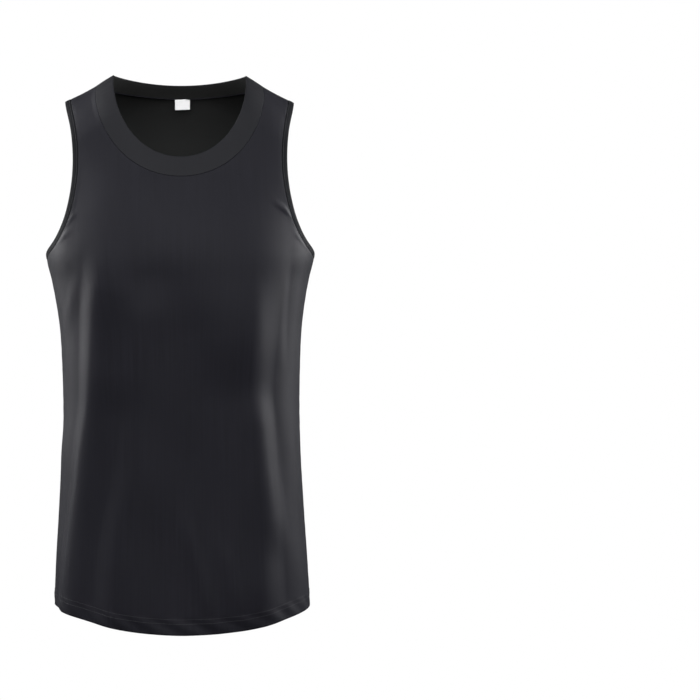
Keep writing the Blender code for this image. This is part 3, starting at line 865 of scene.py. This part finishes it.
def bandProfile(width, thick, dome):
    # distance from the finished edge and height, all round a folded strip: from its seam over its outer
    # face and its rounded edge, and back to the seam on its inner face
    shares = bandLook["faceShares"]
    turn = np.linspace(quarterTurn, -quarterTurn, 9)
    face = thick / 2 + shares * (width - thick / 2)
    rise = dome * np.sin(math.pi * shares) + seamSink(width - face)
    edge = np.stack([thick / 2 * (1 - np.cos(turn)), thick / 2 * (np.sin(turn) - 1)], axis=-1)
    inner = np.stack([face[::-1], np.full(len(face), -thick)], axis=-1)
    foot = [(width, -thick * bandLook["foot"])]
    return np.concatenate([foot, np.stack([face, rise], axis=-1), edge, inner])


def ringHalves(part, distances):
    # lines at the given distances from an edge, between evenly parted ones, all round a ring: the front from
    # the right shoulder to the left one, or from the left armpit to the shoulder, and then the back
    width = max(distances.max(), bandLook[part]["width"])
    halves = []
    for side in ("front", "back"):
        lines = bandLook[part]["lines"](side, np.linspace(0, width, bandLook["lineCount"]))
        at = np.clip(distances / width, 0, 1) * (len(lines) - 1)
        low = np.minimum(at.astype(int), len(lines) - 2)
        share = (at - low)[:, None, None]
        lines = lines[low] * (1 - share) + lines[low + 1] * share
        if part == "neck":
            lines = np.concatenate([lines[:, :, :0:-1] * np.array([-1.0, 1.0])[:, None], lines], axis=2)
        halves.append((side, lines if side == "front" else lines[:, :, -2:0:-1]))
    return halves


def ringPoints(halves, heights):
    # points over the form at the given heights, all round a ring, and the ways out there
    points = [onForm(side, *np.moveaxis(lines, 1, 0)) for side, lines in halves]
    normals = [formNormals(side, *np.moveaxis(lines, 1, 0)) for side, lines in halves]
    points, normals = np.concatenate(points, axis=1), np.concatenate(normals, axis=1)
    return points + normals * np.reshape(heights, (-1, 1, 1)), normals


def turnOutwards(thing):
    # makes the faces of a closed shell point out
    shell = bmesh.new()
    shell.from_mesh(thing.data)
    bmesh.ops.recalc_face_normals(shell, faces=shell.faces)
    shell.to_mesh(thing.data)
    shell.free()


def makeRing(name, part, flip=1.0):
    # a closed strip with small uneven ripples; flip -1 makes the right one from the left
    width = bandLook[part]["width"]
    profile = bandProfile(width, bandLook[part]["thick"], bandLook[part]["dome"])
    ring, normals = ringPoints(ringHalves(part, profile[:, 0]), profile[:, 1])
    around = lengthsAlong(ring[0])
    turns = [2 * math.pi * around / length for length in bandLook["rippleLengths"]]
    ripple = bandLook["ripple"] * np.sin(turns[0]) * np.sin(turns[1])
    bulge = np.sin(math.pi * np.clip(profile[:, 0] / width, 0, 1))
    ring = (ring + normals * (bulge[:, None] * ripple)[..., None]) * np.array([flip, 1.0, 1.0])
    clothMap = np.stack(np.broadcast_arrays(around[None], lengthsAlong(profile)[:, None]), axis=-1)
    rows, columns = ring.shape[:2]
    thing = makeMesh(name, ring, gridFaces(rows, columns, closedRows=True, closedColumns=True), clothMap)
    inside = np.repeat(np.arange(rows) >= rows - bandLook["innerRows"], columns)
    thing.data.polygons.foreach_set("material_index", inside.astype(np.int32))
    turnOutwards(thing)
    return thing


labelLook = {
    "width": 0.019,
    "height": 0.0143,
    "lean": math.radians(28),
    "tilt": math.radians(3),
    "shift": 0.0030,
    "depth": 0.0024,  # its top, from the cloth's outer face inwards
    "ply": 0.0004,
    "curl": 0.0007,
    "curls": (0.6, 0.5, 0.35),  # shares of the curl: of the lower edge, to one side, and of the hollow
    "cells": (32, 24),
    "threadPitch": 0.00035,
    "bump": (0.25, 0.00005),  # strength and depth
    "surface": {"Base Color": (0.565, 0.565, 0.570, 1), "Roughness": 0.55, "Sheen Weight": 0.1},
}


def makeLabel():
    # a small woven tab: its top is in the neck seam, and it hangs clear of the back; its lower edge curls in,
    # more at one side, and it is a little hollow across
    look = labelLook
    lines = neckLines("back", np.linspace(0, panelLook["neckSeam"], bandLook["lineCount"]))
    girth, fall = lines[-1][:, :1]
    seam = onForm("back", girth, fall)[0]
    top = seam - formNormals("back", girth, fall)[0] * look["depth"] + np.array([look["shift"], 0, 0])
    columns, rows = look["cells"]
    sideways, drop = np.meshgrid(np.linspace(-0.5, 0.5, columns + 1), np.linspace(0, 1, rows + 1))
    sideAxis = np.array([math.cos(look["tilt"]), 0, math.sin(look["tilt"])])
    downAxis = np.array([0, math.sin(look["lean"]), -math.cos(look["lean"])])
    inAxis = np.array([0, -math.cos(look["lean"]), -math.sin(look["lean"])])
    middle, skew, hollow = look["curls"]
    curl = look["curl"] * (drop ** 2 * (middle + skew * sideways) - (2 * sideways) ** 2 * hollow * drop)
    points = (top + sideAxis * (sideways * look["width"])[..., None]
              + downAxis * (drop * look["height"])[..., None] + inAxis * curl[..., None])
    clothMap = np.stack([sideways * look["width"], drop * look["height"]], axis=-1)
    thing = makeMesh("neckLabel", points, gridFaces(rows + 1, columns + 1), clothMap)
    return thicken(thing, look["ply"])


def labelMaterial():
    # a fine plain weave: threads that pass over and under each other
    material, tree, surface, output = newMaterial("labelWeave", labelLook["surface"])
    place, *ways = clothPlace(tree)
    pitch = math.pi / labelLook["threadPitch"]
    wave = [mathNode(tree, "SINE", mathNode(tree, "MULTIPLY", way, pitch)) for way in ways]
    bumpFrom(tree, surface, mathNode(tree, "MULTIPLY", *wave), *labelLook["bump"])
    return material


threadLook = {
    "pitch": 0.0031,
    "length": 0.0026,
    "radius": 0.00016,
    "bow": 0.00022,  # how far a stitch arches over the cloth
    "sunk": 0.5,  # height of a thread's middle over the cloth, in radii
    "taper": 0.45,  # how much thinner its ends are
    "sides": 5,
    "steps": 5,
    "surface": {"Base Color": (0.0220, 0.0223, 0.0240, 1), "Roughness": 0.55, "IOR": 1.15},
}


def stitchPlaces(points, normals, pitch):
    # every pitch along a line: the middle of a stitch, the way along the line and the way out
    length = lengthsAlong(points)
    count = round(length[-1] / pitch)
    at = (np.arange(count) + 0.5) * length[-1] / count

    def between(values, where):
        return np.stack([np.interp(where, length, values[:, axis]) for axis in range(3)], axis=-1)

    along = between(points, at + pitch / 4) - between(points, at - pitch / 4)
    return between(points, at), along / np.linalg.norm(along, axis=-1, keepdims=True), between(normals, at)


def makeStitches(name, rows):
    # each stitch is a short bent thread, thinner at both ends, which are sunk in the cloth
    look = threadLook
    centre, along, out = (np.concatenate(parts)[:, None] for parts in zip(*rows))
    aside = np.cross(out, along)
    t = np.linspace(-1, 1, look["steps"])[None, :, None]
    path = centre + along * t * look["length"] / 2 + out * look["bow"] * (0.5 - t ** 2)
    turn = np.linspace(0, 2 * math.pi, look["sides"], endpoint=False)[:, None]
    radius = (look["radius"] * (1 - look["taper"] * t ** 4))[..., None]
    ring = np.cos(turn) * out[:, :, None] + np.sin(turn) * aside[:, :, None]
    points = path[:, :, None] + ring * radius
    tube = gridFaces(look["steps"], look["sides"], closedColumns=True)
    first = np.arange(len(centre))[:, None] * look["steps"] * look["sides"]
    faces = (first[..., None] + tube).reshape(-1, 4).tolist()
    cap = np.arange(look["sides"])
    faces += (first + cap[::-1]).tolist()
    faces += (first + cap + (look["steps"] - 1) * look["sides"]).tolist()
    thing = makeMesh(name, points, faces)
    turnOutwards(thing)
    return thing


hemStitches = {"rows": (0.0198, 0.0143), "sideGap": 0.0015, "points": 500}
armStitches = {"distance": 0.0064, "rise": 0.6}  # from the edge, and in heights of the binding's dome


def hemStitchRows(side):
    # two rows on the hem's outer face, and the looper thread that runs to and fro between them inside
    look = hemStitches
    widest = quarterTurn - look["sideGap"] / form["sideRadius"]
    girth = np.linspace(-widest, widest, look["points"])
    rows = []
    for rise in look["rows"]:
        places = hemPlaces(side, girth, rise)
        points = clothPoints(side, *places.T, threadLook["radius"] * threadLook["sunk"])
        rows.append(stitchPlaces(points, formNormals(side, *places.T), threadLook["pitch"]))
    high, low = look["rows"]
    count = round(2 * form["quarterGirth"] / threadLook["pitch"])
    girth = np.linspace(-widest, widest, 2 * count + 1)
    rise = np.where(np.arange(len(girth)) % 2 == 0, high, low)
    places = hemPlaces(side, girth, rise)
    inside = 2 * panelLook["foldRadius"] + threadLook["radius"] * threadLook["sunk"]
    points = clothPoints(side, *places.T, -inside)
    way = np.diff(points, axis=0)
    normals = -formNormals(side, *places.T)[1:]
    rows.append(((points[1:] + points[:-1]) / 2, way / np.linalg.norm(way, axis=-1, keepdims=True), normals))
    return rows


def armStitchRow(flip):
    # one row on the binding's outer face
    height = bandLook["arm"]["dome"] * armStitches["rise"] + threadLook["radius"] * threadLook["sunk"]
    points, normals = ringPoints(ringHalves("arm", np.array([armStitches["distance"]])), [height])
    turned = np.array([flip, 1.0, 1.0])
    return [stitchPlaces(points[0] * turned, normals[0] * turned, threadLook["pitch"])]


thread = newMaterial("thread", threadLook["surface"])[0]
for side in ("front", "back"):
    panel = finishPiece(makePanel(side), "body_knit", (bodyKnit, innerKnitPaintedLight), side + "_panel")
    stitches = finishPiece(makeStitches(side + "HemStitches", hemStitchRows(side)), "body_knit", (thread,))
    print(side, "panel made")

neckband = finishPiece(makeRing("collarBand", "neck"), "band_knit", (bandKnit, innerBandKnitPaintedLight), "neckband")

for hand, flip in (("left", 1.0), ("right", -1.0)):
    name = "armholeBinding" + hand.title()
    binding = finishPiece(makeRing(name, "arm", flip), "binding_knit", (bindingKnit, innerKnitPaintedLight),
                          "armhole_binding_" + hand)
    stitches = finishPiece(makeStitches(name + "Stitches", armStitchRow(flip)), "binding_knit", (thread,))

label = finishPiece(makeLabel(), "label_cloth", (labelMaterial(),), "neck_label")
print("band, bindings and label made")


view = {
    "place": (0.0, -2.4, -0.154),
    "pixels": 1909.0,  # focal length in pixels of a picture 700 wide
    "picture": 700.0,
    "sensor": 36.0,
    "yaw": math.radians(5.05),
    "pitch": math.radians(4.5),
}


def makeCamera():
    camera = addObject("camera", bpy.data.cameras.new("camera"))
    camera.data.sensor_width = view["sensor"]
    camera.data.lens = view["pixels"] / view["picture"] * view["sensor"]
    camera.location = view["place"]
    camera.rotation_euler = (math.pi / 2 - view["pitch"], 0.0, -view["yaw"])
    bpy.context.scene.camera = camera
    return camera


# The lights are fixed to the camera, as in a studio where the garment is turned and the lights stay. They
# stand round a centre that is given by how far it is to the right of the lens, above it and in front of it.
rigCentre = (-0.12, 0.05, 2.4)
lights = [
    # name, angle round the centre from the line of sight, height over it, distance, width, tall, watts
    ("sideLeft", -108, 0.50, 1.6, 0.9, 1.2, 100.0),
    ("sideRight", 108, 0.50, 1.6, 0.9, 1.2, 114.0),
    ("lowLeft", -60, 0.50, 1.8, 1.0, 1.0, 20.0),
    ("lowRight", 60, 0.50, 1.8, 1.0, 1.0, 34.0),
    ("upperLeft", -64, 1.20, 1.6, 0.9, 0.8, 28.0),
    ("front", 0, 0.80, 2.5, 3.0, 2.2, 176.0),
    ("frontTop", 0, 2.20, 1.8, 2.4, 1.2, 36.0),
]


def makeLight(camera, name, angle, height, distance, width, tall, watts):
    # an area light on a circle round the centre, turned to face it and held by the camera
    lamp = addObject(name, bpy.data.lights.new(name, "AREA"))
    lamp.data.shape = "RECTANGLE"
    lamp.data.size = width
    lamp.data.size_y = tall
    lamp.data.energy = watts
    turn = math.radians(angle) + view["yaw"]
    aim = Vector((rigCentre[0], rigCentre[1], -rigCentre[2]))
    lamp.location = aim + Vector((distance * math.sin(turn), height, distance * math.cos(turn)))
    back = (lamp.location - aim).normalized()
    right = Vector((0, 1, 0)).cross(back).normalized()
    lamp.rotation_euler = Matrix((right, back.cross(right), back)).transposed().to_euler()
    lamp.parent = camera


studio = {
    "wallLight": 0.05,  # what the white walls throw on the garment
    "floorSize": 6.0,
    "floorZ": -1.6,
    "floor": {"Base Color": (0.06, 0.06, 0.06, 1), "Roughness": 0.9},
}


def makeWorld():
    # a white studio all round, dim to everything but the camera
    world = bpy.data.worlds.new("world")
    bpy.context.scene.world = world
    world.use_nodes = True
    tree = world.node_tree
    tree.nodes.clear()
    ray = addNode(tree, "LightPath", {}).outputs["Is Camera Ray"]
    strength = mathNode(tree, "MAXIMUM", ray, studio["wallLight"])
    background = addNode(tree, "Background", {"Color": (1, 1, 1, 1), "Strength": strength})
    addNode(tree, "OutputWorld", {"Surface": background.outputs[0]})


def makeFloor():
    # a plain floor far below the hem, white to the camera and dim to everything else
    size, drop = studio["floorSize"], studio["floorZ"]
    corners = np.array([(-size, -size, drop), (size, -size, drop), (size, size, drop), (-size, size, drop)])
    floor = makeMesh("floor", corners, np.array([[0, 1, 2, 3]]))
    material, tree, surface, output = newMaterial("floorWhite", studio["floor"])
    ray = addNode(tree, "LightPath", {}).outputs["Is Camera Ray"]
    white = addNode(tree, "Emission", {}).outputs[0]
    mix = addNode(tree, "MixShader", {0: ray, 1: surface.outputs[0], 2: white})
    tree.links.new(mix.outputs[0], output.inputs[0])
    floor.data.materials.append(material)


camera = makeCamera()
for light in lights:
    makeLight(camera, *light)
makeWorld()
makeFloor()
bpy.context.scene.view_settings.view_transform = "Standard"
print("camera, light and stage made")
